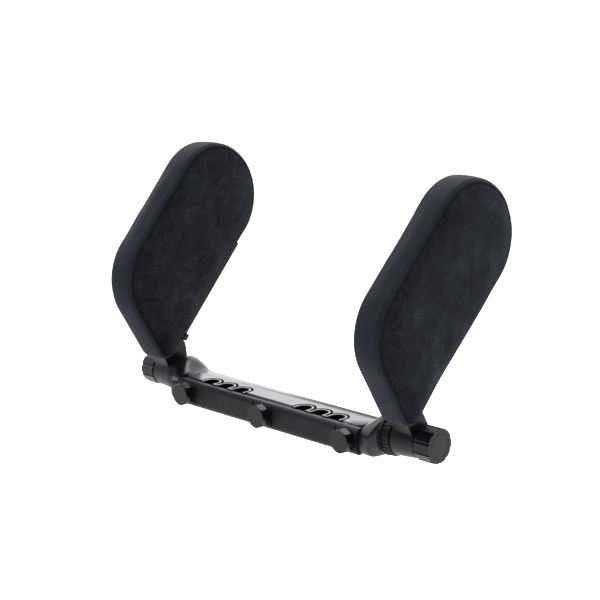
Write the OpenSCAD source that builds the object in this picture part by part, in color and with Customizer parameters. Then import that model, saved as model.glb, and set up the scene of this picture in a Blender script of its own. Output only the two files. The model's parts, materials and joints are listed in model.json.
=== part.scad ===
// Headrest side support: a bar that clamps on two headrest posts and carries two padded wings.
// Frame: +X along the bar, -Y towards the clamp knobs, +Z up.
// The origin is the middle of the bar's flat underside.

/* [Bar] */
// Length of the bar between its two end rings
bar_len = 238; // [225:1:260]
// Depth of the main body behind the clamp bar
body_depth = 30.4; // [29:0.2:36]
// Height of the bar
bar_h = 24; // [22:0.5:30]
// Wall thickness of the main body
wall = 2.6; // [2:0.1:3.2]
// Radius of the long edges of the main body
body_round = 3.5; // [2:0.5:5]

/* [Headrest posts] */
// Diameter of the posts that the grooves grip
post_d = 12.2; // [10:0.1:13]
// Distance between neighbouring grooves
groove_pitch = 18.5; // [18:0.1:20]
// Distance from the middle of the bar to the innermost groove
first_groove = 37; // [34:0.5:40]
// Wall thickness of a groove's rib
rib_t = 1.9; // [1.5:0.1:2.2]

/* [Clamp] */
// Distance from the middle knob to an outer knob
knob_spacing = 94; // [93:0.5:97]
// Thickness of the clamp bar
clamp_t = 6.4; // [5.5:0.1:8]
// Length of the clamp bar
clamp_len = 212; // [208:1:216]
// Width of a clamp knob across its corners
clamp_knob_d = 20; // [17:0.5:21]
// Length of a clamp knob
clamp_knob_len = 7.4; // [6.5:0.1:9]
// Diameter of a clamp screw
clamp_screw_d = 5; // [4:0.5:6]

/* [Ends] */
// Height of the end axis above the underside
axis_z = 17.5; // [17.5:0.1:18]
// Distance of the end axis behind the middle of the bar
axis_y = 6; // [5:0.1:7]
// Diameter of an end ring
ring_d = 35; // [33:0.2:35]
// Length of an end ring
ring_len = 10.6; // [9:0.2:12]
// Diameter of a collar
collar_d = 27; // [24:0.2:27.2]
// How much further a collar reaches from the end axis at its ring than at its knob
collar_flare = 1.8; // [0:0.2:2]
// Length of a collar
collar_len = 21.4; // [19:0.2:24]
// Diameter of an end bolt
bolt_d = 6; // [5:0.5:6.5]
// Width of an end knob across its corners
end_knob_d = 29.4; // [26:0.2:29.6]
// Length of an end knob
end_knob_len = 15; // [13:0.5:20]

/* [Wings] */
// Height of a wing's root above the end axis
root_up = 11.6; // [11.5:0.1:15]
// Distance of a wing's root in front of the end axis
root_ahead = 10.9; // [10:0.1:12]
// Width of the neck that joins a collar to its wing
neck_w = 17.6; // [15:0.2:19]
// Angle that a wing leans away from the clamp knobs
wing_lean = 43; // [30:1:55]
// Angle that a pad leans outwards from its root
pad_splay = 1.8; // [0:0.2:3]
// Width of a pad
pad_w = 95; // [86:1:102]
// Length of a pad
pad_len = 192; // [172:1:204]
// Thickness of a pad
pad_t = 28; // [26:0.5:32]
// Radius of the pad's lower tip
tip_r = 10.6; // [9:0.2:12]
// Thickness of the pad's cover
cover_t = 1.2; // [1:0.1:1.6]
// Diameter of the screw that fastens a wing arm to its neck
neck_screw_d = 3; // [2.5:0.1:3.5]

/* [Hidden] */
$fn = 48;
eps = 0.01;
fit = 0.05;          // radial clearance of a running fit
gap = 0.3;           // gap between pieces that touch on the real object

// Main body
body_back = body_depth / 2 + 1.8;
body_front = body_back - body_depth;
end_front = body_front - clamp_t + 1.2;
end_round = 8;
hump_r = ring_d / 2 - 0.6;
hump_len = 16;
half_bar = bar_len / 2;
half_clamp = clamp_len / 2;
mid_z = bar_h / 2;
cover_plate_t = 2;
cavity_top = bar_h - wall;
cover_screw_x = [25, half_bar - 11];
cover_screw_y = 11;
cover_screw_r = 1.25;
cover_screw_room = 0.25;
cover_screw_len = 8;
cover_half = half_bar - 7;
rear_wall = 1.5;     // wall between the post pockets and the bottom cover
end_start = 0.8;     // from the clamp bar's end to the start of the bar's end
end_flat = 1.2;      // length of the bar's end before it tapers
centre_cavity = 22;
end_cavity = [knob_spacing - 6, knob_spacing + 9];
end_cavity_front = -8;
end_cavity_back = 14;

// Post pockets
post_r = post_d / 2;
post_y = body_front + post_r - gap + 0.1;
rib_r = post_r + rib_t;
pocket_r = rib_r + 2;
grooves = [for (i = [0:2]) first_groove + i * groove_pitch];
ledge_z = 4;
flange_t = 2.4;
liner_wall = 2;

// Clamp
clamp_back = body_front - gap;
clamp_front = clamp_back - clamp_t;
clamp_h = bar_h - 2;
pad_strip_t = 1.5;
pad_strip_h = 15;
screw_r = clamp_screw_d / 2;
nut_af = clamp_screw_d * 1.6;
nut_t = 4;
nut_y = end_cavity_front;
boss_proud = 0.3;
knob_back = clamp_front - boss_proud - 0.1;
knob_front = knob_back - clamp_knob_len;
clip_t = 0.8;
clip_in = 0.6;       // how far a clip lies inside the clamp bar
clip_wide = 1.6;
clip_room = 0.4;
clamp_round = 4.5;
clamp_at = [-knob_spacing, 0, knob_spacing];
boss_r = 9;
strip_half = grooves[2] + 9;
knob_face_r = clamp_knob_d / 2 - 1;
slot_at = 11.4;      // from a knob's middle to the slot beside it
slot_w = 1.2;
slot_depth = 1.6;
head_depth = 5;      // how deep a clamp screw's end goes into its knob
head_t = 3;
tail = 5;            // how far a clamp screw reaches past its nut

// End stack, distances along X
rim_t = 3;
hub_r = ring_d / 2 - 1.4;
rib_count = 30;
rib_w = 1.2;
rib_top = ring_d / 2 - 0.6;
ring_x = half_bar + gap / 3;
washer_t = 1;
washer_r = collar_d / 2 - 1;
friction_x = ring_x + ring_len + gap / 3;
collar_x = friction_x + washer_t + gap / 3;
thrust_x = collar_x + collar_len + gap / 3;
knob_x = thrust_x + washer_t + gap / 3;
bolt_r = bolt_d / 2;
bolt_head_af = 10;
bolt_head_t = 5;
bolt_stop = end_cavity[1] + 7;       // end of the hexagon pocket that stops the bolt turning
bush_t = 1.8;
knob_nut_t = 6.5;
cap_t = 2.2;
cap_r = 10;
knob_sides = 10;
nut_in = 3;          // from an end knob's inner face to its nut
bolt_len = knob_x + nut_in + knob_nut_t + gap - end_cavity[1];
notch_r = 1.5;       // radius of the notches round an end knob
knob_edge = 0.8;     // chamfer of an end knob's edges

// Wings, in a frame whose origin is the wing's root
wing_x = collar_x + collar_len / 2;
root_y = axis_y - root_ahead;
root_z = axis_z + root_up;
neck_half = neck_w / 2;
tongue_half = 3;
slot_half = tongue_half + 0.1;
foot_v = [-3.6, 0.6];
foot_u = [24.3, 30];
tongue_v = 4;        // rear edge of the tongue
strap_w = 5.4;       // thickness of the neck's taller inner part
tongue_u = 8;
neck_screw_at = [-1, 20.2];
neck_screw_r = neck_screw_d / 2;
neck_head_t = 0.8;
neck_low = [[22, -6], [6, -9], [4.6, -5], [-8.2, 0]];   // corners inside the collar and in front
neck_inner = [[-3.6, 24], [2.4, 24], [8.1, 20.3], [12.7, 16.3]];     // corners behind, on the inner part
neck_outer = [[-3.6, 16.2], [1.6, 16.2], [13.5, 12.6]];  // corners behind, on the outer part
neck_root = [25.4, 6.4];
pad_r = pad_w / 2;
pad_rear = -4;                       // rear edge of the pad, across the wing
pad_mid = pad_rear - pad_r;
pad_top = pad_len - pad_r - 2;       // centre of the round top end
pad_shoulder = pad_r + 11;           // centre of the shoulder's round
tip_v = pad_rear - tip_r;
tip_u = tip_r - 2;
edge_in = 4;                         // how far the pad's rim draws in at its faces
blade_w = -pad_t / 2 + cover_t + 0.9;
blade_t = 3;
blade_len = 128;
blade_h = 18;
blade_edge = pad_rear + 1.4;
plate_gap = 0.2;
plate_t = 4;
plate_w = blade_w + blade_t + plate_gap;
plate_inset = 5;
plate_u = 24;
screw_head_t = 0.6;
screw_u = [34, 64, 94];
plate_screw_r = 1.6;

// ---- shapes that repeat ----

module rounded_box(a, b, r) {
  translate([a[0] + r, a[1]]) square([b[0] - a[0] - 2 * r, b[1] - a[1]]);
  translate([a[0], a[1] + r]) square([b[0] - a[0], b[1] - a[1] - 2 * r]);
  for (x = [a[0] + r, b[0] - r], y = [a[1] + r, b[1] - r]) translate([x, y]) circle(r);
}

// Extrudes a profile drawn in Y and Z along X
module along_x(x0, x1) {
  translate([x0, 0, 0]) rotate([90, 0, 90]) linear_extrude(x1 - x0) children();
}

// Round bar along X about the end axis
module on_axis(x0, x1, r, sides = 48) {
  translate([x0, axis_y, axis_z]) rotate([0, 90, 0]) cylinder(r = r, h = x1 - x0, $fn = sides);
}

// Round bar along Y at a clamp screw
module along_y(x, y0, y1, r, sides = 48) {
  translate([x, y0, mid_z]) rotate([-90, 0, 0]) cylinder(r = r, h = y1 - y0, $fn = sides);
}

// Hexagon along X about the end axis, with flats above and below
module hex_on_axis(x0, x1, flats) {
  translate([x0, axis_y, axis_z]) rotate([30, 0, 0]) rotate([0, 90, 0])
    cylinder(r = corner_r(flats), h = x1 - x0, $fn = 6);
}

module hand(side) {
  mirror([side < 0 ? 1 : 0, 0, 0]) children();
}

function corner_r(flats) = flats / 2 / cos(30);

// ---- bar ----

// A row of U-shaped notches that open towards the clamp bar
module notch_row(r, front) {
  intersection() {
    for (x = grooves) {
      translate([x, post_y]) circle(r);
      translate([x - r, front]) square([2 * r, post_y - front]);
    }
    translate([0, front]) square([half_bar, body_depth]);
  }
}

module pocket(r) {
  notch_row(r, body_front - 1);
  translate([grooves[0], body_front - 1]) square([grooves[2] - grooves[0], post_y - body_front + 1]);
}

module bar_profile() {
  rounded_box([body_front, 0], [body_back, bar_h], body_round);
}

// The bar's ends reach forwards past the ends of the clamp bar, with a rounder front
module end_profile() {
  rounded_box([end_front, 0], [body_back - body_round, bar_h], end_round);
  bar_profile();
}

module main_body() {
  color("#202124") difference() {
    union() {
      along_x(-half_bar, half_bar) bar_profile();
      for (s = [-1, 1]) hand(s) {
        hull() {
          along_x(half_clamp + end_start, half_clamp + end_start + end_flat) end_profile();
          on_axis(half_bar - 1, half_bar, hump_r);
        }
        translate([half_bar - hump_len, axis_y, axis_z]) rotate([0, 90, 0])
          cylinder(r1 = bar_h - axis_z, r2 = hump_r, h = hump_len);
      }
    }
    for (s = [-1, 1]) hand(s) {
      translate([0, 0, ledge_z]) linear_extrude(bar_h) pocket(pocket_r);
      translate([0, 0, -1]) linear_extrude(bar_h) pocket(rib_r);
      translate([end_cavity[0], end_cavity_front, cover_plate_t])
        cube([end_cavity[1] - end_cavity[0], end_cavity_back - end_cavity_front, cavity_top - cover_plate_t]);
      on_axis(end_cavity[1] - 1, half_bar + 1, bolt_r + fit);
      hex_on_axis(end_cavity[1] - eps, bolt_stop, bolt_head_af + 2 * fit);
    }
    translate([-centre_cavity, end_cavity_front, cover_plate_t])
      cube([2 * centre_cavity, end_cavity_back - end_cavity_front, cavity_top - cover_plate_t]);
    for (x = clamp_at)
      along_y(x, body_front - 1, end_cavity_front + 1, screw_r + fit);
    bottom_openings(fit);
    at_cover_screws(-1, cover_screw_r, cover_screw_len + 2);
  }
}

// One upright round bar at each screw of the bottom cover
module at_cover_screws(z, r, h) {
  for (s = [-1, 1], x = cover_screw_x) translate([s * x, cover_screw_y, z]) cylinder(r = r, h = h);
}

// Footprint of the bottom cover, cut into the underside
module bottom_openings(grow) {
  translate([0, 0, -1]) linear_extrude(cover_plate_t + 1 + 2 * eps) cover_outline(grow);
}

module cover_outline(grow) {
  rear = post_y + pocket_r + rear_wall;
  translate([-cover_half - grow, rear - grow])
    square([2 * (cover_half + grow), body_back - body_round - rear + 2 * grow]);
  for (s = [-1, 1])
    translate([s < 0 ? -end_cavity[1] - grow : end_cavity[0] - grow, end_cavity_front - grow])
      square([end_cavity[1] - end_cavity[0] + 2 * grow, rear - end_cavity_front]);
  translate([-centre_cavity - grow, end_cavity_front - grow])
    square([2 * (centre_cavity + grow), rear - end_cavity_front]);
}

module bottom_cover() {
  color("#26272a") difference() {
    linear_extrude(cover_plate_t - fit) cover_outline(0);
    at_cover_screws(-1, cover_screw_r + cover_screw_room, cover_plate_t + 2);
  }
}

module cover_screws() {
  color("#8b8d90") at_cover_screws(fit, cover_screw_r, cover_screw_len);
}

module clamp_nuts() {
  color("#a9abad") for (x = clamp_at) difference() {
    along_y(x, nut_y + fit, nut_y + nut_t, corner_r(nut_af), 6);
    along_y(x, nut_y - 1, nut_y + nut_t + 1, screw_r + fit);
  }
}

// Insert with one U-shaped rib at each groove, standing on a thin flange
module post_liner(side) {
  color("#2c2d31") hand(side) difference() {
    union() {
      translate([0, 0, ledge_z]) linear_extrude(flange_t) difference() {
        pocket(pocket_r - fit);
        translate([0, body_front - wall]) square([half_bar, wall + fit]);
      }
      translate([0, 0, ledge_z]) linear_extrude(bar_h - ledge_z) notch_row(rib_r, body_front + fit);
      translate([grooves[0], body_front + fit, ledge_z])
        cube([grooves[2] - grooves[0], liner_wall, bar_h - ledge_z]);
    }
    translate([0, 0, -1]) linear_extrude(bar_h + 2) notch_row(post_r, body_front - 1);
  }
}

module end_ring(side) {
  color("#2a2b2e") hand(side) difference() {
    union() {
      on_axis(ring_x, ring_x + rim_t, ring_d / 2);
      on_axis(ring_x, ring_x + ring_len, hub_r);
      for (k = [0:rib_count - 1]) translate([ring_x, axis_y, axis_z]) rotate([360 / rib_count * k, 0, 0])
        translate([rim_t / 2, -rib_w / 2, hub_r - 1]) cube([ring_len - rim_t, rib_w, rib_top - hub_r + 1]);
    }
    on_axis(ring_x - 1, ring_x + ring_len + 1, bolt_r + fit);
  }
}

module end_bolt(side) {
  color("#9a9c9f") hand(side) {
    hex_on_axis(bolt_stop - bolt_head_t, bolt_stop - fit, bolt_head_af);
    on_axis(bolt_stop - fit - eps, end_cavity[1] + bolt_len, bolt_r);
  }
}

module washer(x, r, side) {
  hand(side) difference() {
    on_axis(x, x + washer_t, r);
    on_axis(x - 1, x + washer_t + 1, bolt_r + fit);
  }
}

module friction_washer(side) {
  color("#c9c4b4") washer(friction_x, washer_r, side);
}

// ---- clamp ----

module clamp_profile() {
  intersection() {
    rounded_box([clamp_front, mid_z - clamp_h / 2], [clamp_back + clamp_t, mid_z + clamp_h / 2], clamp_round);
    translate([clamp_front - 1, 0]) square([clamp_t + 1, bar_h]);
  }
}

module clamp_bar() {
  color("#1d1e20") difference() {
    union() {
      along_x(-half_clamp, half_clamp) clamp_profile();
      for (x = clamp_at) along_y(x, clamp_front - boss_proud, clamp_back, boss_r);
    }
    translate([-strip_half, clamp_back - pad_strip_t, mid_z - pad_strip_h / 2])
      cube([2 * strip_half, pad_strip_t + 1, pad_strip_h]);
    for (x = [-knob_spacing + slot_at, -slot_at, slot_at, knob_spacing - slot_at])
      translate([x - slot_w / 2, clamp_front - 1, mid_z - bar_h / 2])
        cube([slot_w, 1 + slot_depth, bar_h]);
    for (x = clamp_at) {
      along_y(x, clamp_front - 1, clamp_back + 1, screw_r + fit);
      along_y(x, clamp_back - clip_t - clip_in - clip_room, clamp_back + 1, screw_r + clip_wide + clip_room);
    }
  }
}

module clamp_pad() {
  color("#37383b") difference() {
    translate([-strip_half + fit, clamp_back - pad_strip_t + fit, mid_z - pad_strip_h / 2 + fit])
      cube([2 * (strip_half - fit), pad_strip_t - fit, pad_strip_h - 2 * fit]);
    along_y(0, clamp_front, clamp_back + 1, screw_r + clip_wide + clip_room);
  }
}

module screw_clips() {
  color("#b0b2b4") for (x = clamp_at) difference() {
    along_y(x, clamp_back - clip_t - clip_in, clamp_back - clip_in, screw_r + clip_wide);
    along_y(x, clamp_front, clamp_back + 1, screw_r + fit);
  }
}

module clamp_knob(x) {
  color("#17181a") difference() {
    intersection() {
      along_y(x, knob_front, knob_back, clamp_knob_d / 2, 8);
      translate([x, knob_front, mid_z]) rotate([-90, 0, 0])
        cylinder(r1 = knob_face_r, r2 = knob_face_r + clamp_knob_len, h = clamp_knob_len);
    }
    along_y(x, knob_back - head_depth, knob_back + 1, screw_r);
    along_y(x, knob_back - head_depth, knob_back - head_depth + head_t, corner_r(nut_af), 6);
  }
}

module clamp_screw(x) {
  color("#a2a4a6") {
    along_y(x, knob_back - head_depth, nut_y + nut_t + tail, screw_r);
    along_y(x, knob_back - head_depth, knob_back - head_depth + head_t, corner_r(nut_af), 6);
  }
}

// ---- ends ----

// Fan-shaped neck: it starts inside the collar and ends under the pad's tip and rear edge
module neck_outline(rear) {
  difference() {
    polygon(concat(neck_low, [[foot_v[0], tip_u]], rear, [neck_root]));
    translate([tip_v, tip_u]) circle(tip_r + gap);
  }
}

module collar(side) {
  color("#1b1c1e") hand(side) difference() {
    union() {
      translate([collar_x, axis_y, axis_z]) rotate([0, 90, 0])
        cylinder(r1 = collar_d / 2 + collar_flare, r2 = collar_d / 2, h = collar_len);
      wing_place() {
        along_x(-neck_half, -neck_half + strap_w) neck_outline(neck_inner);
        along_x(-neck_half, neck_half) neck_outline(neck_outer);
      }
    }
    on_axis(collar_x - 1, collar_x + collar_len + 1, bolt_r + bush_t);
    wing_place() {
      translate([-slot_half, foot_v[0] - 1, tongue_u - gap])
        cube([2 * slot_half, tongue_v - foot_v[0] + 1 + gap, foot_u[0]]);
      peg(-neck_half - 1, neck_half + 1, neck_screw_at[0], neck_screw_at[1], neck_screw_r);
    }
  }
}

module collar_bush(side) {
  color("#c8c2ae") hand(side) difference() {
    on_axis(collar_x, collar_x + collar_len, bolt_r + bush_t);
    on_axis(collar_x - 1, collar_x + collar_len + 1, bolt_r + fit);
  }
}

module neck_screw(side) {
  color("#b8babd") wing_frame(side) {
    peg(-neck_half, tongue_half, neck_screw_at[0], neck_screw_at[1], neck_screw_r);
    peg(-neck_half - neck_head_t, -neck_half, neck_screw_at[0], neck_screw_at[1], neck_screw_r + 1);
  }
}

module thrust_washer(side) {
  color("#a7a9ab") washer(thrust_x, washer_r - gap, side);
}

module end_knob(side) {
  color("#131416") hand(side) difference() {
    intersection() {
      on_axis(knob_x, knob_x + end_knob_len, end_knob_d / 2, knob_sides);
      translate([knob_x, axis_y, axis_z]) rotate([0, 90, 0])
        cylinder(r1 = end_knob_d / 2 + end_knob_len, r2 = end_knob_d / 2 - knob_edge, h = end_knob_len);
      translate([knob_x, axis_y, axis_z]) rotate([0, 90, 0])
        cylinder(r1 = end_knob_d / 2 - knob_edge, r2 = end_knob_d / 2 + end_knob_len, h = end_knob_len);
    }
    for (k = [0:knob_sides - 1]) translate([knob_x - 1, axis_y, axis_z])
      rotate([360 / knob_sides * (k + 0.5), 0, 0]) translate([0, end_knob_d / 2, 0])
        rotate([0, 90, 0]) cylinder(r = notch_r, h = end_knob_len + 2, $fn = 24);
    on_axis(knob_x - 1, knob_x + end_knob_len - cap_t + eps, bolt_r + fit);
    hex_on_axis(knob_x + nut_in, knob_x + nut_in + knob_nut_t, bolt_head_af);
    on_axis(knob_x + end_knob_len - cap_t, knob_x + end_knob_len + 1, cap_r);
  }
}

module knob_nut(side) {
  color("#a9abad") hand(side) difference() {
    hex_on_axis(knob_x + nut_in, knob_x + nut_in + knob_nut_t, bolt_head_af);
    on_axis(knob_x, knob_x + end_knob_len, bolt_r + fit);
  }
}

module knob_cap(side) {
  color("#1a1b1d") hand(side)
    on_axis(knob_x + end_knob_len - cap_t + fit, knob_x + end_knob_len, cap_r);
}

// ---- wings ----

module wing_place() {
  translate([wing_x, root_y, root_z]) rotate([-wing_lean, 0, 0]) children();
}

module wing_frame(side) {
  hand(side) wing_place() children();
}

// Round bar across the wing's thickness; v is across the wing and u is along it
module peg(w0, w1, v, u, r, sides = 48) {
  translate([w0, v, u]) rotate([0, 90, 0]) cylinder(r = r, h = w1 - w0, $fn = sides);
}

// Teardrop slab, drawn in by inset all round
module pad_slab(w, inset) {
  peg(-w, w, pad_mid, pad_top, pad_r - inset, 96);
  peg(-w, w, pad_mid, pad_shoulder, pad_r - inset, 96);
  peg(-w, w, tip_v, tip_u, tip_r - inset, 48);
}

module pad_shape(inset) {
  hull() {
    pad_slab(pad_t / 2 - edge_in, inset);
    pad_slab(pad_t / 2 - inset, inset + edge_in);
  }
}

// Leans the padded part outwards about the wing's root
module splayed() {
  rotate([0, pad_splay, 0]) children();
}

module plate_outline(w0, w1, inset) {
  peg(w0, w1, pad_mid, pad_top, pad_r - inset, 96);
  peg(w0, w1, pad_mid, pad_shoulder, pad_r - inset, 96);
  translate([w0, pad_mid - pad_r + inset, pad_shoulder])
    cube([w1 - w0, pad_w - 2 * inset, pad_top - pad_shoulder]);
  translate([w0, pad_mid, plate_u]) cube([w1 - w0, pad_r - inset, pad_shoulder - plate_u]);
}

module wing_arm(side) {
  color("#18191b") wing_frame(side) difference() {
    union() {
      translate([-tongue_half, foot_v[0], tongue_u])
        cube([2 * tongue_half, tongue_v - foot_v[0], foot_u[0] + 1 - tongue_u]);
      translate([blade_w, foot_v[0], foot_u[0]])
        cube([tongue_half - blade_w, foot_v[1] - foot_v[0], foot_u[1] - foot_u[0]]);
      splayed() translate([blade_w, blade_edge - blade_h, foot_u[0]])
        cube([blade_t, blade_h, blade_len - foot_u[0]]);
    }
    peg(-tongue_half - 1, tongue_half + 1, neck_screw_at[0], neck_screw_at[1], neck_screw_r);
    splayed() for (u = screw_u)
      peg(blade_w - 1, blade_w + blade_t + 1, blade_edge - blade_h / 2, u, plate_screw_r);
  }
}

module wing_plate(side) {
  color("#3a3b3f") wing_frame(side) splayed() difference() {
    plate_outline(plate_w, plate_w + plate_t, plate_inset);
    for (u = screw_u)
      peg(plate_w - 1, plate_w + plate_t + 1, blade_edge - blade_h / 2, u, plate_screw_r);
  }
}

module plate_screws(side) {
  color("#a2a4a6") wing_frame(side) splayed() for (u = screw_u) {
    peg(blade_w, plate_w + plate_t, blade_edge - blade_h / 2, u, plate_screw_r);
    peg(blade_w - screw_head_t, blade_w, blade_edge - blade_h / 2, u, 2 * plate_screw_r);
  }
}

// Space inside the pad for the blade
module blade_space(grow) {
  translate([blade_w - screw_head_t - grow, blade_edge - blade_h - grow, foot_u[0] - grow])
    cube([blade_t + screw_head_t + 2 * grow, blade_h + 2 * grow + 1, blade_len - foot_u[0] + 2 * grow]);
}

module pad_foam(side) {
  color("#5a5b60") wing_frame(side) difference() {
    splayed() pad_shape(cover_t + fit);
    splayed() blade_space(gap);
    splayed()
      plate_outline(plate_w - plate_gap, plate_w + plate_t + plate_gap, plate_inset - plate_gap);
  }
}

module pad_cover(side) {
  color("#26262e") wing_frame(side) difference() {
    splayed() pad_shape(0);
    splayed() pad_shape(cover_t);
    splayed() blade_space(gap);
  }
}

main_body();
bottom_cover();
cover_screws();
clamp_nuts();
post_liner(-1);  // left_post_liner
post_liner(1);  // right_post_liner
end_ring(-1);  // left_end_ring
end_ring(1);  // right_end_ring
end_bolt(-1);  // left_end_bolt
end_bolt(1);  // right_end_bolt
friction_washer(-1);  // left_friction_washer
friction_washer(1);  // right_friction_washer
clamp_bar();
clamp_pad();
screw_clips();
clamp_knob(-knob_spacing);  // left_clamp_knob
clamp_knob(0);  // centre_clamp_knob
clamp_knob(knob_spacing);  // right_clamp_knob
clamp_screw(-knob_spacing);  // left_clamp_screw
clamp_screw(0);  // centre_clamp_screw
clamp_screw(knob_spacing);  // right_clamp_screw
collar(-1);  // left_collar
collar(1);  // right_collar
collar_bush(-1);  // left_collar_bush
collar_bush(1);  // right_collar_bush
neck_screw(-1);  // left_neck_screw
neck_screw(1);  // right_neck_screw
thrust_washer(-1);  // left_thrust_washer
thrust_washer(1);  // right_thrust_washer
end_knob(-1);  // left_end_knob
end_knob(1);  // right_end_knob
knob_nut(-1);  // left_knob_nut
knob_nut(1);  // right_knob_nut
knob_cap(-1);  // left_knob_cap
knob_cap(1);  // right_knob_cap
wing_arm(-1);  // left_wing_arm
wing_arm(1);  // right_wing_arm
wing_plate(-1);  // left_wing_plate
wing_plate(1);  // right_wing_plate
plate_screws(-1);  // left_plate_screws
plate_screws(1);  // right_plate_screws
pad_foam(-1);  // left_pad_foam
pad_foam(1);  // right_pad_foam
pad_cover(-1);  // left_pad_cover
pad_cover(1);  // right_pad_cover
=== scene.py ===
"""Looks of a headrest side support: padded wings, moulded plastic, knobs and stage.

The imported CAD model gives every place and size, and this file dresses it.
"""
import json
import math

import bmesh
import bpy
import numpy as np
from mathutils import Matrix, Vector


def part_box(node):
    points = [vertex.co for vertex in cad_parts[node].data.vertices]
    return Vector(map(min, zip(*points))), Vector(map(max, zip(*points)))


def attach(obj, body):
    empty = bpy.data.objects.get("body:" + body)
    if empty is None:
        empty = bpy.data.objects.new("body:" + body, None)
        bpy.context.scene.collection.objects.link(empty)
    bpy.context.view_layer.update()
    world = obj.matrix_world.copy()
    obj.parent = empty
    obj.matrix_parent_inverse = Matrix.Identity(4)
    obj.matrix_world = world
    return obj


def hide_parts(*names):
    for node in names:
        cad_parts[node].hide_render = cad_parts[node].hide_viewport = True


bl_info = {
    "name": "Headrest side support",
    "version": (1, 0, 0),
    "blender": (4, 5, 0),
    "location": "3D View > Sidebar > Headrest",
    "description": "Builds the padded wings, plastic finishes and stage of a headrest side support",
    "category": "Object",
}

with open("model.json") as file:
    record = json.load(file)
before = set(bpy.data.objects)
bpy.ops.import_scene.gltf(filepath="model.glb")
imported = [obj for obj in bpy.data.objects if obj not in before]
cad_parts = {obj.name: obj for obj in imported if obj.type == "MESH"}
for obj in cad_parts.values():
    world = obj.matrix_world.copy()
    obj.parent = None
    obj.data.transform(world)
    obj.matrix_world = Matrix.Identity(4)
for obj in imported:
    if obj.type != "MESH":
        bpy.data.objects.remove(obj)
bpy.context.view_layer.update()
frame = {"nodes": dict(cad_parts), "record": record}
NODES = frame["nodes"]
SIDES = ("left", "right")

OUTLINE_POINTS = 320    # round a pad
ARC_POINTS = 160        # on each of the outline's arcs, before they are spaced evenly
FACE_SPAN = 0.030       # taken as the way from a pad's seam to its spine
GROOVE_SPREAD = 0.0009  # width of the seam's groove
ROLL_ANGLE = math.radians(62)
ARM_FADE = 0.012        # over which the cover widens again past the arm's end
CLOTH_FRAMES = 20
CLOTH_STIFFNESS = {"tension_stiffness": 25, "compression_stiffness": 25,
                   "shear_stiffness": 12, "bending_stiffness": 2.5}
CLOTH_BLOCK = 2000      # points moved at a time
END_SECTIONS = 56
END_POINTS = 180        # round a section of the bar's end
SHARP_ANGLE = math.radians(50)
FLOOR_SIZE = 40.0


# ---------------------------------------------------------------- settings

class PadSettings(bpy.types.PropertyGroup):
    """Sizes of the padded wings."""
    lean: bpy.props.FloatProperty(
        name="Lean", description="Angle that a wing leans back from upright",
        default=math.radians(43), subtype="ANGLE")
    splay: bpy.props.FloatProperty(
        name="Splay", description="Angle that a wing leans outwards",
        default=math.radians(1.8), subtype="ANGLE")
    tip_radius: bpy.props.FloatProperty(
        name="Tip radius", description="Radius of the lower tip",
        default=0.0106, unit="LENGTH")
    shoulder: bpy.props.FloatProperty(
        name="Shoulder", description="Height of the shoulder's centre above the tip",
        default=0.059, unit="LENGTH")
    edge: bpy.props.FloatProperty(
        name="Edge", description="Radius of the rolled edge between face and side",
        default=0.004, unit="LENGTH")
    crown: bpy.props.FloatProperty(
        name="Crown", description="Rise of a face's middle over its rim before stuffing",
        default=0.0014, unit="LENGTH")
    seam_depth: bpy.props.FloatProperty(
        name="Seam depth", description="Depth of the groove at the seam round a face",
        default=0.0006, unit="LENGTH")
    side_bulge: bpy.props.FloatProperty(
        name="Side bulge", description="How far the side stands out in the middle",
        default=0.0005, unit="LENGTH")
    pressure: bpy.props.FloatProperty(
        name="Stuffing", description="Pressure that fills the cover", default=3.0)
    swell: bpy.props.FloatProperty(
        name="Swell", description="Furthest that the stuffing may move the cover",
        default=0.0016, unit="LENGTH")
    grow: bpy.props.FloatProperty(
        name="Grow", description="How far the cover's outline stands out from the CAD solid",
        default=0.0016, unit="LENGTH")
    grow_front: bpy.props.FloatProperty(
        name="Grow in front", description="The same, at the front edge above the shoulder",
        default=0.0032, unit="LENGTH")
    grow_arm: bpy.props.FloatProperty(
        name="Grow at the arm", description="The same, at the rear edge beside the wing arm",
        default=0.0004, unit="LENGTH")
    grow_face: bpy.props.FloatProperty(
        name="Grow of a face", description="The same, at each face",
        default=0.0007, unit="LENGTH")
    arm_reach: bpy.props.FloatProperty(
        name="Arm reach", description="How far up the rear edge the wing arm goes",
        default=0.126, unit="LENGTH")
    voxel: bpy.props.FloatProperty(
        name="Cell", description="Cell size of the cover's copy in the cloth simulation",
        default=0.004, unit="LENGTH")


class EndSettings(bpy.types.PropertyGroup):
    """Sizes of the bar's smooth ends."""
    end_length: bpy.props.FloatProperty(
        name="End length", description="From the bar's straight part to the end ring",
        default=0.0165, unit="LENGTH")
    clamp_gap: bpy.props.FloatProperty(
        name="Clamp gap", description="Between the clamp bar and the bar's end",
        default=0.0005, unit="LENGTH")
    bar_height: bpy.props.FloatProperty(
        name="Bar height", description="Height of the bar's straight part",
        default=0.0241, unit="LENGTH")
    flange_step: bpy.props.FloatProperty(
        name="Flange step", description="How much smaller the flange is than the end ring",
        default=0.0004, unit="LENGTH")
    squareness: bpy.props.FloatProperty(
        name="Squareness", description="2 gives an ellipse and more gives squarer sections",
        default=3.4)


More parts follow.
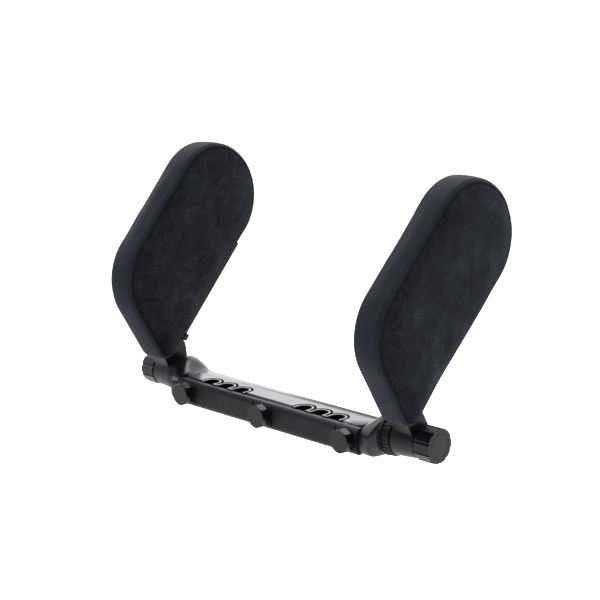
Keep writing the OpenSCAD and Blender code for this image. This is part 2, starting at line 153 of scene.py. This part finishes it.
class FinishSettings(bpy.types.PropertyGroup):
    """Colours of the finishes."""
    velour: bpy.props.FloatVectorProperty(
        name="Velour", description="Colour of the pads' pile",
        default=(0.0104, 0.0106, 0.0148), subtype="COLOR")
    moulded: bpy.props.FloatVectorProperty(
        name="Moulded plastic", description="Colour of the bar and the collars",
        default=(0.0045, 0.0045, 0.0052), subtype="COLOR")
    knob: bpy.props.FloatVectorProperty(
        name="Knob plastic", description="Colour of the knobs",
        default=(0.0035, 0.0035, 0.0040), subtype="COLOR")
    steel: bpy.props.FloatVectorProperty(
        name="Steel", description="Colour of screws, nuts and bolts",
        default=(0.42, 0.42, 0.43), subtype="COLOR")
    edge_width: bpy.props.FloatProperty(
        name="Edge rounding", description="Width of the rounding on moulded edges",
        default=0.0005, unit="LENGTH")


class StageSettings(bpy.types.PropertyGroup):
    """Camera, floor and light."""
    azimuth: bpy.props.FloatProperty(
        name="Azimuth", description="Camera's turn about the upright axis",
        default=math.radians(44.6), subtype="ANGLE")
    elevation: bpy.props.FloatProperty(
        name="Elevation", description="Camera's height angle",
        default=math.radians(12.8), subtype="ANGLE")
    distance: bpy.props.FloatProperty(
        name="Distance", description="From the camera to the middle of the view",
        default=1.337, unit="LENGTH")
    aim_side: bpy.props.FloatProperty(
        name="Aim sideways", description="Middle of the view, to the right of the origin",
        default=0.0174, unit="LENGTH")
    aim_up: bpy.props.FloatProperty(
        name="Aim up", description="Middle of the view, above the origin",
        default=0.1037, unit="LENGTH")
    lens: bpy.props.FloatProperty(
        name="Lens", description="Focal length in millimetres", default=96.0)
    floor_drop: bpy.props.FloatProperty(
        name="Floor drop", description="How far the floor lies below the bar",
        default=0.30, unit="LENGTH")


# ---------------------------------------------------------------- shader maths

class Value:
    """A shader socket with arithmetic: an expression adds the Math nodes that it needs."""

    def __init__(self, shader, socket):
        self.shader = shader
        self.socket = socket

    def _math(self, operation, *inputs):
        return self.shader.add("ShaderNodeMath", {"operation": operation}, inputs)

    def __add__(self, other):
        return self._math("ADD", self, other)

    __radd__ = __add__

    def __mul__(self, other):
        return self._math("MULTIPLY", self, other)

    __rmul__ = __mul__

    def __sub__(self, other):
        return self._math("SUBTRACT", self, other)

    def __rsub__(self, other):
        return self._math("SUBTRACT", other, self)

    def __abs__(self):
        return self._math("ABSOLUTE", self)

    def clamped(self):
        return self.shader.add("ShaderNodeClamp", {}, (self, 0.0, 1.0))

    def band(self, low, high):
        """Rises smoothly from 0 at low to 1 at high."""
        return self.shader.add(
            "ShaderNodeMapRange", {"interpolation_type": "SMOOTHSTEP"},
            {"Value": self, "From Min": low, "From Max": high})


class Shader:
    """A material under construction, with one method that adds every node."""

    def __init__(self, name):
        self.material = bpy.data.materials.new(name)
        self.material.use_nodes = True
        self.tree = self.material.node_tree
        self.surface = self.tree.nodes["Principled BSDF"]

    def add(self, kind, settings=None, inputs=(), output=0):
        node = self.tree.nodes.new(kind)
        for key, value in (settings or {}).items():
            setattr(node, key, value)
        pairs = inputs.items() if isinstance(inputs, dict) else enumerate(inputs)
        for key, value in pairs:
            self._feed(node.inputs[key], value)
        return Value(self, node.outputs[output])

    def _feed(self, socket, value):
        if isinstance(value, Value):
            self.tree.links.new(value.socket, socket)
        elif hasattr(socket.default_value, "__len__") and len(socket.default_value) == 4:
            socket.default_value = (*value[:3], 1.0)
        else:
            socket.default_value = value

    def fixed(self, **values):
        """Sets constants on the surface shader's own sockets; underscores stand for spaces."""
        for key, value in values.items():
            self._feed(self.surface.inputs[key.replace("_", " ")], value)

    def drive(self, name, value):
        self.tree.links.new(value.socket, self.surface.inputs[name])

    def place(self, scale=(1.0, 1.0, 1.0)):
        """Object coordinates, in metres, multiplied by scale."""
        where = self.add("ShaderNodeTexCoord", output="Object")
        return self.add("ShaderNodeMapping", {}, {"Vector": where, "Scale": scale})

    def noise(self, scale, detail=4.0, roughness=0.5, where=None):
        return self.add("ShaderNodeTexNoise", {}, {
            "Vector": where or self.place(), "Scale": scale, "Detail": detail,
            "Roughness": roughness})

    def cells(self, scale, feature="F1"):
        return self.add("ShaderNodeTexVoronoi", {"feature": feature}, {
            "Vector": self.place(), "Scale": scale})

    def attribute(self, name):
        return self.add("ShaderNodeAttribute", {"attribute_name": name}, output="Fac")

    def edges(self):
        """1 on convex edges and 0 on flats and hollows."""
        pointiness = self.add("ShaderNodeNewGeometry", output="Pointiness")
        return pointiness.band(0.52, 0.60)

    def blend(self, factor, low, high):
        mix = self.tree.nodes.new("ShaderNodeMix")
        mix.data_type = "RGBA"
        self._feed(mix.inputs["Factor"], factor)
        for key, value in ((6, low), (7, high)):
            self._feed(mix.inputs[key], value)
        return Value(self, mix.outputs[2])

    def bump(self, height, depth, strength=1.0, below=None):
        inputs = {"Height": height, "Distance": depth, "Strength": strength}
        if below is not None:
            inputs["Normal"] = below
        return self.add("ShaderNodeBump", {}, inputs)


def shade(colour, factor):
    return tuple(channel * factor for channel in colour)


# ---------------------------------------------------------------- finishes

def velour_finish(settings):
    """Short pile: mottled where it lies over, brushed lighter in places, with painted shade along
    the seam's groove and a ribbed side lightened partly by painted sheen.
    """
    m = Shader("velour")
    colour = tuple(settings.velour)
    patches = m.noise(85.0, detail=6.0, roughness=0.68)
    drift = m.noise(22.0, detail=2.0)
    fuzz = m.noise(520.0, detail=5.0, roughness=0.8)
    brushed = m.noise(30.0, detail=8.0, roughness=0.8).band(0.44, 0.78)
    lie = (patches * 0.7 + drift * 0.3).band(0.38, 0.62)
    tone = (lie * 0.5 + fuzz.band(0.36, 0.64) * 0.5).clamped()
    seam = m.attribute("seam")
    face = seam.band(-0.0006, 0.0)
    # painted shade: the colour is darkened along the seam's groove
    seam_shade = 1.0 - abs(seam).band(0.0002, 0.0010)
    flat = m.blend(tone, shade(colour, 0.12), shade(colour, 1.2))
    pile = m.blend((brushed * (0.15 + tone * 1.1)).clamped(), flat, shade(colour, 2.9))
    ribs = m.add("ShaderNodeTexWave", {"wave_type": "BANDS", "bands_direction": "DIAGONAL"}, {
        "Vector": m.place(), "Scale": 210.0, "Distortion": 2.0})
    # the ribbed side is lighter than the face: partly its own ribbed cloth, partly painted sheen
    weave = (ribs * 0.4 + tone * 0.6).clamped()
    cloth = m.blend(weave, shade(colour, 1.0), shade(colour, 2.3))
    body = m.blend(face, cloth, pile)
    m.drive("Base Color", m.blend(seam_shade * 0.8, body, shade(colour, 0.25)))
    m.drive("Roughness", 0.84 + lie * 0.1)
    nap = m.bump(fuzz, 0.00022, 0.7)
    m.drive("Normal", m.bump(lie * 0.8 + ribs * (1.0 - face) * 0.3, 0.0004, 0.4, nap))
    m.fixed(Sheen_Weight=0.12, Sheen_Roughness=0.45, Sheen_Tint=(0.72, 0.72, 0.9),
            Specular_IOR_Level=0.05)
    return m.material


def smooth_finish(name, colour, roughness, level=0.5):
    """Satin moulded plastic: faint flow marks, fine speckle and slightly rubbed edges."""
    m = Shader(name)
    flow = m.noise(55.0, detail=3.0)
    speckle = m.noise(1900.0, detail=2.0)
    wear = m.edges() * m.noise(240.0).band(0.45, 0.62)
    body = m.blend(flow, shade(colour, 0.85), shade(colour, 1.2))
    m.drive("Base Color", m.blend(wear * 0.5, body, shade(colour, 3.0)))
    m.drive("Roughness", roughness + flow * 0.08 + speckle * 0.05)
    m.drive("Normal", m.bump(speckle, 0.00004, 0.4))
    m.fixed(Specular_IOR_Level=level)
    return m.material


def grained_finish(name, colour, roughness, scale, depth):
    """Leather-grain plastic: rounded pebbles parted by thin creases."""
    m = Shader(name)
    warp = m.noise(300.0, detail=2.0)
    pebbles = m.cells(scale, "SMOOTH_F1")
    creases = m.cells(scale, "DISTANCE_TO_EDGE").band(0.0, 0.16)
    grain = (creases * 0.7 - pebbles * 0.3 + warp * 0.25)
    fine = m.noise(2400.0, detail=2.0)
    wear = m.edges() * 0.5
    body = m.blend((wear + grain * 0.3).clamped(), shade(colour, 0.8), shade(colour, 1.7))
    m.drive("Base Color", body)
    m.drive("Roughness", roughness + 0.12 * fine - 0.06 * creases)
    m.drive("Normal", m.bump(grain, depth, 0.8, m.bump(fine, 0.00003, 0.5)))
    m.fixed(Specular_IOR_Level=0.16)
    return m.material


def steel_finish(name, colour):
    """Steel with a cloudy coating and fine turned lines."""
    m = Shader(name)
    cloud = m.noise(420.0, detail=4.0)
    lines = m.noise(900.0, where=m.place((6.0, 1.0, 1.0)))
    m.drive("Base Color", m.blend(cloud, shade(colour, 0.75), shade(colour, 1.2)))
    m.drive("Roughness", 0.26 + 0.2 * cloud)
    m.drive("Normal", m.bump(lines, 0.00003, 0.4))
    m.fixed(Metallic=1.0)
    return m.material


def acetal_finish():
    """Off-white bearing plastic."""
    m = Shader("bearing_plastic")
    cloud = m.noise(200.0)
    m.drive("Base Color", m.blend(cloud, (0.50, 0.47, 0.40), (0.62, 0.59, 0.52)))
    m.drive("Roughness", 0.38 + 0.1 * cloud)
    m.drive("Normal", m.bump(m.noise(1500.0), 0.00003, 0.4))
    return m.material


def rubber_finish():
    """Matte rubber with fine cross ribs."""
    m = Shader("rubber")
    ribs = m.add("ShaderNodeTexWave", {"wave_type": "BANDS", "bands_direction": "X"}, {
        "Vector": m.place(), "Scale": 180.0, "Distortion": 0.0})
    dust = m.noise(700.0)
    m.drive("Base Color", m.blend(dust, (0.012, 0.012, 0.012), (0.03, 0.03, 0.03)))
    m.drive("Roughness", 0.72 + 0.15 * dust)
    m.drive("Normal", m.bump(ribs, 0.0002, 0.6))
    return m.material


def dress(obj, material):
    obj.data.materials.clear()
    obj.data.materials.append(material)


# ---------------------------------------------------------------- mesh helpers

def ease(values):
    """0 below 0, 1 above 1 and a smooth rise between."""
    values = np.clip(values, 0.0, 1.0)
    return values ** 2 * (3 - 2 * values)


def shade_smooth(mesh):
    mesh.polygons.foreach_set("use_smooth", np.ones(len(mesh.polygons), dtype=bool))


def new_piece(name, points, faces, smooth=True):
    """Puts arrays of points and faces in a new object at the origin."""
    mesh = bpy.data.meshes.new(name)
    mesh.from_pydata(points.tolist(), [], [list(face) for face in faces])
    mesh.update()
    if smooth:
        shade_smooth(mesh)
    piece = bpy.data.objects.new(name, mesh)
    bpy.context.scene.collection.objects.link(piece)
    return piece


def grid_faces(rows, columns):
    """Quads of a grid that closes along its columns."""
    row, column = np.meshgrid(np.arange(rows - 1), np.arange(columns), indexing="ij")
    after = (column + 1) % columns
    quads = [row * columns + column, row * columns + after,
             (row + 1) * columns + after, (row + 1) * columns + column]
    return np.stack([q.ravel() for q in quads], axis=1)


def apply_modifiers(piece):
    """Replaces a piece's mesh with its evaluated one."""
    bpy.context.view_layer.update()
    shape = piece.evaluated_get(bpy.context.evaluated_depsgraph_get())
    mesh = bpy.data.meshes.new_from_object(shape)
    piece.modifiers.clear()
    piece.data = mesh


def vertices(piece):
    points = np.empty(len(piece.data.vertices) * 3)
    piece.data.vertices.foreach_get("co", points)
    return points.reshape(-1, 3)


def set_vertices(piece, points):
    piece.data.vertices.foreach_set("co", points.ravel())
    piece.data.update()


def point_outwards(piece):
    shape = bmesh.new()
    shape.from_mesh(piece.data)
    bmesh.ops.remove_doubles(shape, verts=shape.verts, dist=1e-6)
    bmesh.ops.recalc_face_normals(shape, faces=shape.faces)
    shape.to_mesh(piece.data)
    shape.free()


def store(piece, name, values):
    layer = piece.data.attributes.new(name, "FLOAT", "POINT")
    layer.data.foreach_set("value", values.astype(np.float32))


def rounded_copy(node, name, width, angle=math.radians(28)):
    """Copy of a CAD node with its edges rounded, standing for the node."""
    source = NODES[node]
    mesh = source.data.copy()
    piece = bpy.data.objects.new(name, mesh)
    bpy.context.scene.collection.objects.link(piece)
    shape = bmesh.new()
    shape.from_mesh(mesh)
    bmesh.ops.remove_doubles(shape, verts=shape.verts, dist=2e-6)
    bmesh.ops.dissolve_limit(shape, angle_limit=math.radians(1.0), verts=shape.verts,
                             edges=shape.edges)
    shape.to_mesh(mesh)
    shape.free()
    bevel = piece.modifiers.new("rounding", "BEVEL")
    bevel.width = width
    bevel.segments = 2
    bevel.limit_method = "ANGLE"
    bevel.angle_limit = angle
    apply_modifiers(piece)
    shade_smooth(piece.data)
    piece.data.set_sharp_from_angle(angle=SHARP_ANGLE)
    even = piece.modifiers.new("even_normals", "WEIGHTED_NORMAL")
    even.keep_sharp = True
    even.weight = 80
    apply_modifiers(piece)
    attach(piece, body_of(node))
    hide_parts(node)
    return piece


def body_of(node):
    for body, nodes in frame["record"]["behaviour"]["bodies"].items():
        if node in nodes:
            return body
    raise RuntimeError(f"{node} rides on no body")


# ---------------------------------------------------------------- padded wings

def wing_axes(side, settings):
    """Unit vectors out of the wing's face, across it and along it, as the columns of a matrix."""
    outward = 1.0 if side == "right" else -1.0
    lean, splay = settings.lean, settings.splay
    along = np.array([0.0, math.sin(lean), math.cos(lean)])
    across = np.array([0.0, math.cos(lean), -math.sin(lean)])
    out = np.array([outward, 0.0, 0.0])
    tilted = along * math.cos(splay) + out * math.sin(splay)
    face = out * math.cos(splay) - along * math.sin(splay)
    return np.stack([face, across, tilted], axis=1)


def pad_frame(side, settings):
    """Axes of a pad and the lowest and highest corners of its CAD solid along them."""
    axes = wing_axes(side, settings)
    local = vertices(NODES[f"{side}_pad_cover"]) @ axes
    return axes, local.min(axis=0), local.max(axis=0)


def pad_outline(low, high, settings, count):
    """Closed outline round three circles, as a tight band: top, shoulder and tip.

    Returns the points of the outline, evenly spaced, and for each the point of the pad's
    spine that it is joined to.
    """
    radius = (high[1] - low[1]) / 2
    middle = (low[1] + high[1]) / 2
    tip_r = settings.tip_radius
    centres = np.array([
        [middle, high[2] - radius],
        [middle, low[2] + settings.shoulder],
        [high[1] - tip_r, low[2] + tip_r]])
    radii = np.array([radius, radius, tip_r])
    link = centres[2] - centres[1]
    reach = np.linalg.norm(link)
    slope = math.atan2(link[1], link[0])
    lead = math.acos((radius - tip_r) / reach)
    turn = slope - lead
    leave = turn + 2 * math.pi
    arcs = [(0, 0.0, math.pi), (1, math.pi, leave), (2, leave, 2 * math.pi)]
    edge, spine = [], []
    for index, start, stop in arcs:
        angle = np.linspace(start, stop, ARC_POINTS)
        ring = centres[index] + radii[index] * np.stack([np.cos(angle), np.sin(angle)], axis=1)
        edge.append(ring)
        spine.append(np.repeat(centres[index][None], len(angle), axis=0))
    edge, spine = np.concatenate(edge), np.concatenate(spine)
    knee = centres[1] + np.array([radius, 0.0])
    edge = np.concatenate([edge, knee[None], edge[:1]])
    spine = np.concatenate([spine, centres[1:2], spine[:1]])
    length = np.concatenate([[0.0], np.cumsum(np.linalg.norm(np.diff(edge, axis=0), axis=1))])
    even = np.linspace(0.0, length[-1], count, endpoint=False)

    def pick(values):
        return np.stack([np.interp(even, length, values[:, k]) for k in (0, 1)], axis=1)

    return pick(edge), pick(spine)


def pad_profile(half, settings):
    """Half section of a pad, from its spine to the middle of its side.

    Each row holds the way from the spine to the flat rim (0 to 1), the distance that the
    outline is drawn in, the height over the pad's middle and the distance from the seam,
    which is negative on the side. The face is a low dome, the seam is a narrow groove round
    the face, and the rolled edge is part of an arc that meets the groove at an angle.
    """
    roll = settings.edge
    inward = np.concatenate([np.linspace(1.0, 0.12, 22), np.linspace(0.1, 0.0, 9)])
    dome = half + settings.crown * (1.0 - (1.0 - inward) ** 3)
    span = inward * FACE_SPAN
    groove = settings.seam_depth * np.exp(-(span / GROOVE_SPREAD) ** 2)
    face = np.stack([1.0 - inward, np.full_like(inward, roll), dome - groove, span], axis=1)
    turn = np.linspace(ROLL_ANGLE, 0.0, 12)[1:]
    drawn = roll * (1.0 - np.cos(turn)) / (1.0 - math.cos(ROLL_ANGLE))
    rise = half - roll + roll * np.sin(turn) / math.sin(ROLL_ANGLE)
    edge = np.stack([np.ones_like(turn), drawn, rise, rise - half], axis=1)
    rise = np.linspace(half - roll, 0.0, 7)[1:]
    side = np.stack([np.ones_like(rise), np.zeros_like(rise), rise, rise - half], axis=1)
    side[:, 1] = -settings.side_bulge * (1.0 - (rise / (half - roll)) ** 2)
    return np.concatenate([face, edge, side])


def pad_surface(side, settings):
    """Closed pad: rings run from the spine over the rim of one face to the other face's spine.

    A ring lies a given part of the way from the spine to the outline, which is drawn in by
    the profile's second column; the profile's third column lifts it. The outline stands out
    from the CAD solid by the growth: the plain one, easing into the front one where the
    outline faces forwards above the shoulder, and into the arm's on the inner half of the
    rear edge as far up as the arm reaches.
    """
    axes, low, high = pad_frame(side, settings)
    edge, spine = pad_outline(low, high, settings, OUTLINE_POINTS)
    half = (high[0] - low[0]) / 2 - settings.crown + settings.grow_face
    middle = (low[0] + high[0]) / 2
    away = edge - spine
    away /= np.linalg.norm(away, axis=1, keepdims=True)
    profile = pad_profile(half, settings)
    profile = np.concatenate([profile, profile[-2::-1] * np.array([1, 1, -1, 1])])
    part, drawn, height, seam = (column[:, None, None] for column in profile.T)
    rise = edge[:, 1:] - low[2]
    front = ease(-away[:, :1]) * ease(rise / settings.shoulder - 0.6)
    arm = ease(away[:, :1] * 2 - 1) * ease((settings.arm_reach - rise) / ARM_FADE)
    arm = arm * ease(0.5 - height / half)
    out = settings.grow + (settings.grow_front - settings.grow) * front
    out = out + (settings.grow_arm - settings.grow) * arm
    rim = edge + away * (out - drawn)
    flat = spine + (rim - spine) * part
    lift = np.broadcast_to(middle + height, flat.shape[:2] + (1,))
    local = np.concatenate([lift, flat], axis=2).reshape(-1, 3)
    seams = np.broadcast_to(seam, lift.shape).ravel()
    return local @ axes.T, grid_faces(len(profile), len(edge)), seams


def simulate(piece, settings):
    """Fills a remeshed copy of the cover by cloth simulation: start points and their moves."""
    copy = bpy.data.objects.new("cover_cloth", piece.data.copy())
    bpy.context.scene.collection.objects.link(copy)
    mesher = copy.modifiers.new("cells", "REMESH")
    mesher.mode = "VOXEL"
    mesher.voxel_size = settings.voxel
    apply_modifiers(copy)
    start = vertices(copy)
    cloth = copy.modifiers.new("stuffing", "CLOTH")
    cloth.settings.quality = 6
    cloth.settings.mass = 0.15
    for key, value in CLOTH_STIFFNESS.items():
        setattr(cloth.settings, key, value)
    cloth.settings.use_pressure = True
    cloth.settings.uniform_pressure_force = settings.pressure
    cloth.settings.effector_weights.gravity = 0
    cloth.point_cache.frame_start = 1
    cloth.point_cache.frame_end = CLOTH_FRAMES
    for number in range(1, CLOTH_FRAMES + 1):
        bpy.context.scene.frame_set(number)
    apply_modifiers(copy)
    bpy.context.scene.frame_set(1)
    move = vertices(copy) - start
    bpy.data.objects.remove(copy)
    return start, move


def stuff(piece, settings):
    """Moves the cover as its cloth copy moved, evened out and kept within the swell limit."""
    start, move = simulate(piece, settings)
    length = np.linalg.norm(move, axis=1, keepdims=True)
    move *= np.minimum(1.0, settings.swell / np.maximum(length, 1e-9))
    points = vertices(piece)
    moved = np.empty_like(points)
    reach = (1.6 * settings.voxel) ** 2
    for first in range(0, len(points), CLOTH_BLOCK):
        block = points[first:first + CLOTH_BLOCK]
        apart = ((block ** 2).sum(axis=1)[:, None] + (start ** 2).sum(axis=1)[None]
                 - 2.0 * block @ start.T)
        weight = np.exp(-np.maximum(apart, 0.0) / reach)
        moved[first:first + CLOTH_BLOCK] = block + weight @ move / weight.sum(axis=1, keepdims=True)
    set_vertices(piece, moved)


def subdivide(piece):
    smooth = piece.modifiers.new("smooth", "SUBSURF")
    smooth.levels = 1
    apply_modifiers(piece)


def make_pad(side, settings, material):
    points, faces, seams = pad_surface(side, settings)
    pad = new_piece(f"{side}_pad", points, faces)
    store(pad, "seam", seams)
    point_outwards(pad)
    stuff(pad, settings)
    subdivide(pad)
    shade_smooth(pad.data)
    dress(pad, material)
    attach(pad, f"{side}_wing")
    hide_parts(f"{side}_pad_cover", f"{side}_pad_foam")
    return pad


# ---------------------------------------------------------------- bar ends

def make_end(side, settings, material):
    """Smooth end of the bar, from its straight part to the end ring.

    Sections stand along the bar. Each is a rounded rectangle whose front is drawn forwards
    beyond the clamp bar's end, and it passes into the round flange behind the end ring: the
    top and the back do so from the start, and the front and the underside only at the end.
    """
    outward = 1.0 if side == "right" else -1.0
    low, high = (np.array(corner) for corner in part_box("main_body"))
    ring_low, ring_high = (np.array(corner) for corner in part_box(f"{side}_end_ring"))
    clamp_low, clamp_high = (np.array(corner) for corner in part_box("clamp_bar"))
    axis = (ring_low + ring_high)[1:] / 2
    flange = (ring_high[2] - ring_low[2]) / 2 - settings.flange_step
    along = np.linspace(0.0, 1.0, END_SECTIONS)[:, None]
    place = high[0] - settings.end_length * (1.0 - along)
    angle = np.linspace(0.0, 2 * math.pi, END_POINTS, endpoint=False)[None]
    cosine, sine = np.cos(angle), np.sin(angle)
    past_clamp = place > clamp_high[0] + settings.clamp_gap
    front = np.where(past_clamp, low[1], clamp_high[1] + settings.clamp_gap)
    middle, half = (high[1] + front) / 2, (high[1] - front) / 2
    power = 2.0 / settings.squareness
    tall = settings.bar_height / 2
    box_y = middle + half * np.sign(cosine) * np.abs(cosine) ** power
    box_z = tall + tall * np.sign(sine) * np.abs(sine) ** power
    late = ease(0.5 - 0.75 * (cosine + sine))
    blend = ease(along) * (1 - late) + ease((along - 0.8) / 0.2) * late
    y = box_y * (1 - blend) + (axis[0] + flange * cosine) * blend
    z = box_z * (1 - blend) + (axis[1] + flange * sine) * blend
    x = np.broadcast_to(outward * place, y.shape)
    points = np.stack([x, y, z], axis=2)
    ends = np.repeat(points[[0, -1]].mean(axis=1, keepdims=True), angle.size, axis=1)
    points = np.concatenate([ends[:1], points, ends[1:]])
    piece = new_piece(f"{side}_bar_end", points.reshape(-1, 3), grid_faces(len(points), angle.size))
    point_outwards(piece)
    piece.data.set_sharp_from_angle(angle=SHARP_ANGLE)
    dress(piece, material)
    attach(piece, "bar")
    return piece


def trim_ends(piece, limit):
    """Cuts a piece off at limit on both sides, where the smooth ends take over."""
    shape = bmesh.new()
    shape.from_mesh(piece.data)
    for outward in (-1, 1):
        everything = shape.verts[:] + shape.edges[:] + shape.faces[:]
        cut = bmesh.ops.bisect_plane(
            shape, geom=everything, plane_co=(outward * limit, 0, 0),
            plane_no=(outward, 0, 0), clear_outer=True)
        rim = [item for item in cut["geom_cut"] if isinstance(item, bmesh.types.BMEdge)]
        bmesh.ops.holes_fill(shape, edges=rim, sides=0)
    shape.to_mesh(piece.data)
    shape.free()


# ---------------------------------------------------------------- operators

class HEADREST_OT_pads(bpy.types.Operator):
    """Make both padded wings"""
    bl_idname = "headrest.pads"
    bl_label = "Padded wings"

    def execute(self, context):
        scene = context.scene
        material = velour_finish(scene.headrest_finish)
        for side in SIDES:
            make_pad(side, scene.headrest_pad, material)
        return {"FINISHED"}


class HEADREST_OT_plastic(bpy.types.Operator):
    """Give the moulded pieces rounded edges and their finishes"""
    bl_idname = "headrest.plastic"
    bl_label = "Moulded pieces"

    def execute(self, context):
        finish = context.scene.headrest_finish
        moulded, knob = tuple(finish.moulded), tuple(finish.knob)
        smooth = smooth_finish("satin_moulding", moulded, 0.24, 0.38)
        matte = smooth_finish("matte_moulding", moulded, 0.34, 0.2)
        grained = grained_finish("grained_moulding", moulded, 0.42, 900.0, 0.0002)
        knobs = smooth_finish("knob_moulding", knob, 0.2, 0.22)
        finishes = {
            "main_body": smooth, "bottom_cover": matte, "clamp_bar": grained,
            "left_post_liner": smooth, "right_post_liner": smooth}
        for side in SIDES:
            for part in ("end_ring", "collar", "wing_arm"):
                finishes[f"{side}_{part}"] = matte
            for part in ("end_knob", "knob_cap"):
                finishes[f"{side}_{part}"] = knobs
        for place in ("left", "centre", "right"):
            finishes[f"{place}_clamp_knob"] = knobs
        for node, material in finishes.items():
            piece = rounded_copy(node, f"{node}_shape", finish.edge_width)
            dress(piece, material)
            if node == "main_body":
                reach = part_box(node)[1][0] - context.scene.headrest_end.end_length
                trim_ends(piece, reach + finish.edge_width)
        for side in SIDES:
            make_end(side, context.scene.headrest_end, smooth)
            dress(NODES[f"{side}_wing_plate"], matte)
        dress(NODES["clamp_pad"], rubber_finish())
        return {"FINISHED"}


class HEADREST_OT_hardware(bpy.types.Operator):
    """Give screws, nuts, bolts, bushes and washers their finishes"""
    bl_idname = "headrest.hardware"
    bl_label = "Hardware"

    def execute(self, context):
        finish = context.scene.headrest_finish
        steel = steel_finish("plated_steel", tuple(finish.steel))
        black = steel_finish("blackened_steel", shade(tuple(finish.steel), 0.06))
        acetal = acetal_finish()
        for node, obj in NODES.items():
            if "plate_screws" in node or "neck_screw" in node:
                dress(obj, black)
            elif any(word in node for word in ("screw", "nut", "bolt", "thrust", "clips")):
                dress(obj, steel)
            elif "bush" in node or "friction" in node:
                dress(obj, acetal)
        return {"FINISHED"}


class HEADREST_OT_stage(bpy.types.Operator):
    """Set the camera, the floor and the lights"""
    bl_idname = "headrest.stage"
    bl_label = "Stage"

    def execute(self, context):
        stage = context.scene.headrest_stage
        add_camera(stage)
        add_floor(stage)
        add_lights()
        return {"FINISHED"}


# ---------------------------------------------------------------- stage

def view_axes(azimuth, elevation):
    """Right, up and back vectors of a camera that looks along +Y at azimuth 0."""
    back = Vector((math.sin(azimuth) * math.cos(elevation),
                   -math.cos(azimuth) * math.cos(elevation), math.sin(elevation)))
    right = Vector((math.cos(azimuth), math.sin(azimuth), 0.0))
    return right, back.cross(right), back


def add_camera(stage):
    right, up, back = view_axes(stage.azimuth, stage.elevation)
    data = bpy.data.cameras.new("view")
    data.lens = stage.lens
    data.sensor_width = 36.0
    camera = bpy.data.objects.new("view", data)
    place = right * stage.aim_side + up * stage.aim_up + back * stage.distance
    camera.matrix_world = Matrix.Translation(place) @ Matrix(
        (right, up, back)).transposed().to_4x4()
    bpy.context.scene.collection.objects.link(camera)
    bpy.context.scene.camera = camera


def add_floor(stage):
    m = Shader("pale_floor")
    m.drive("Base Color", m.blend(m.noise(3.0), (0.90, 0.90, 0.90), (0.92, 0.92, 0.92)))
    m.fixed(Roughness=0.8, Emission_Color=(1.0, 1.0, 1.0), Emission_Strength=0.15)
    corners = FLOOR_SIZE * np.array([[-1, -1, 0], [1, -1, 0], [1, 1, 0], [-1, 1, 0]])
    corners[:, 2] = -stage.floor_drop
    floor = new_piece("floor", corners, [[0, 1, 2, 3]], smooth=False)
    dress(floor, m.material)


def add_lights():
    world = bpy.data.worlds.new("studio")
    world.use_nodes = True
    nodes, links = world.node_tree.nodes, world.node_tree.links
    nodes["Background"].inputs["Color"].default_value = (0.965, 0.955, 1.0, 1.0)
    where = nodes.new("ShaderNodeTexCoord")
    facing = nodes.new("ShaderNodeVectorMath")
    facing.operation = "DOT_PRODUCT"
    facing.inputs[1].default_value = (-0.66, 0.66, 0.36)
    lit = nodes.new("ShaderNodeMapRange")
    lit.interpolation_type = "SMOOTHSTEP"
    for key, value in (("From Min", 0.1), ("From Max", 0.95), ("To Min", 0.28), ("To Max", 3.6)):
        lit.inputs[key].default_value = value
    links.new(where.outputs["Generated"], facing.inputs[0])
    links.new(facing.outputs["Value"], lit.inputs["Value"])
    links.new(lit.outputs["Result"], nodes["Background"].inputs["Strength"])
    bpy.context.scene.world = world
    bpy.context.scene.view_settings.view_transform = "Standard"
    add_area("top", (0.3, 0.5, 2.2), (0.0, 0.0, 0.05), 1.6, 40.0)
    add_area("side", (-1.9, -0.2, 1.1), (0.0, 0.0, 0.1), 0.8, 16.0)


def add_area(name, place, aim, size, power):
    data = bpy.data.lights.new(name, "AREA")
    data.shape = "DISK"
    data.size = size
    data.energy = power
    light = bpy.data.objects.new(name, data)
    light.location = place
    light.rotation_euler = (Vector(aim) - Vector(place)).to_track_quat("-Z", "Y").to_euler()
    bpy.context.scene.collection.objects.link(light)


# ---------------------------------------------------------------- panel and registration

class HEADREST_PT_panel(bpy.types.Panel):
    """Lists the steps that build the object"""
    bl_label = "Headrest side support"
    bl_idname = "HEADREST_PT_panel"
    bl_space_type = "VIEW_3D"
    bl_region_type = "UI"
    bl_category = "Headrest"

    def draw(self, context):
        for step in STEPS:
            self.layout.operator(step.bl_idname)


STEPS = (HEADREST_OT_stage, HEADREST_OT_pads, HEADREST_OT_plastic, HEADREST_OT_hardware)
GROUPS = {"headrest_pad": PadSettings, "headrest_end": EndSettings,
          "headrest_finish": FinishSettings, "headrest_stage": StageSettings}


def register():
    for name, group in GROUPS.items():
        bpy.utils.register_class(group)
        setattr(bpy.types.Scene, name, bpy.props.PointerProperty(type=group))
    for item in (*STEPS, HEADREST_PT_panel):
        bpy.utils.register_class(item)


def unregister():
    for item in (HEADREST_PT_panel, *reversed(STEPS)):
        bpy.utils.unregister_class(item)
    for name, group in GROUPS.items():
        delattr(bpy.types.Scene, name)
        bpy.utils.unregister_class(group)


def main():
    register()
    bpy.ops.headrest.stage()
    bpy.ops.headrest.pads()
    bpy.ops.headrest.plastic()
    bpy.ops.headrest.hardware()


if __name__ == "__main__":
    main()
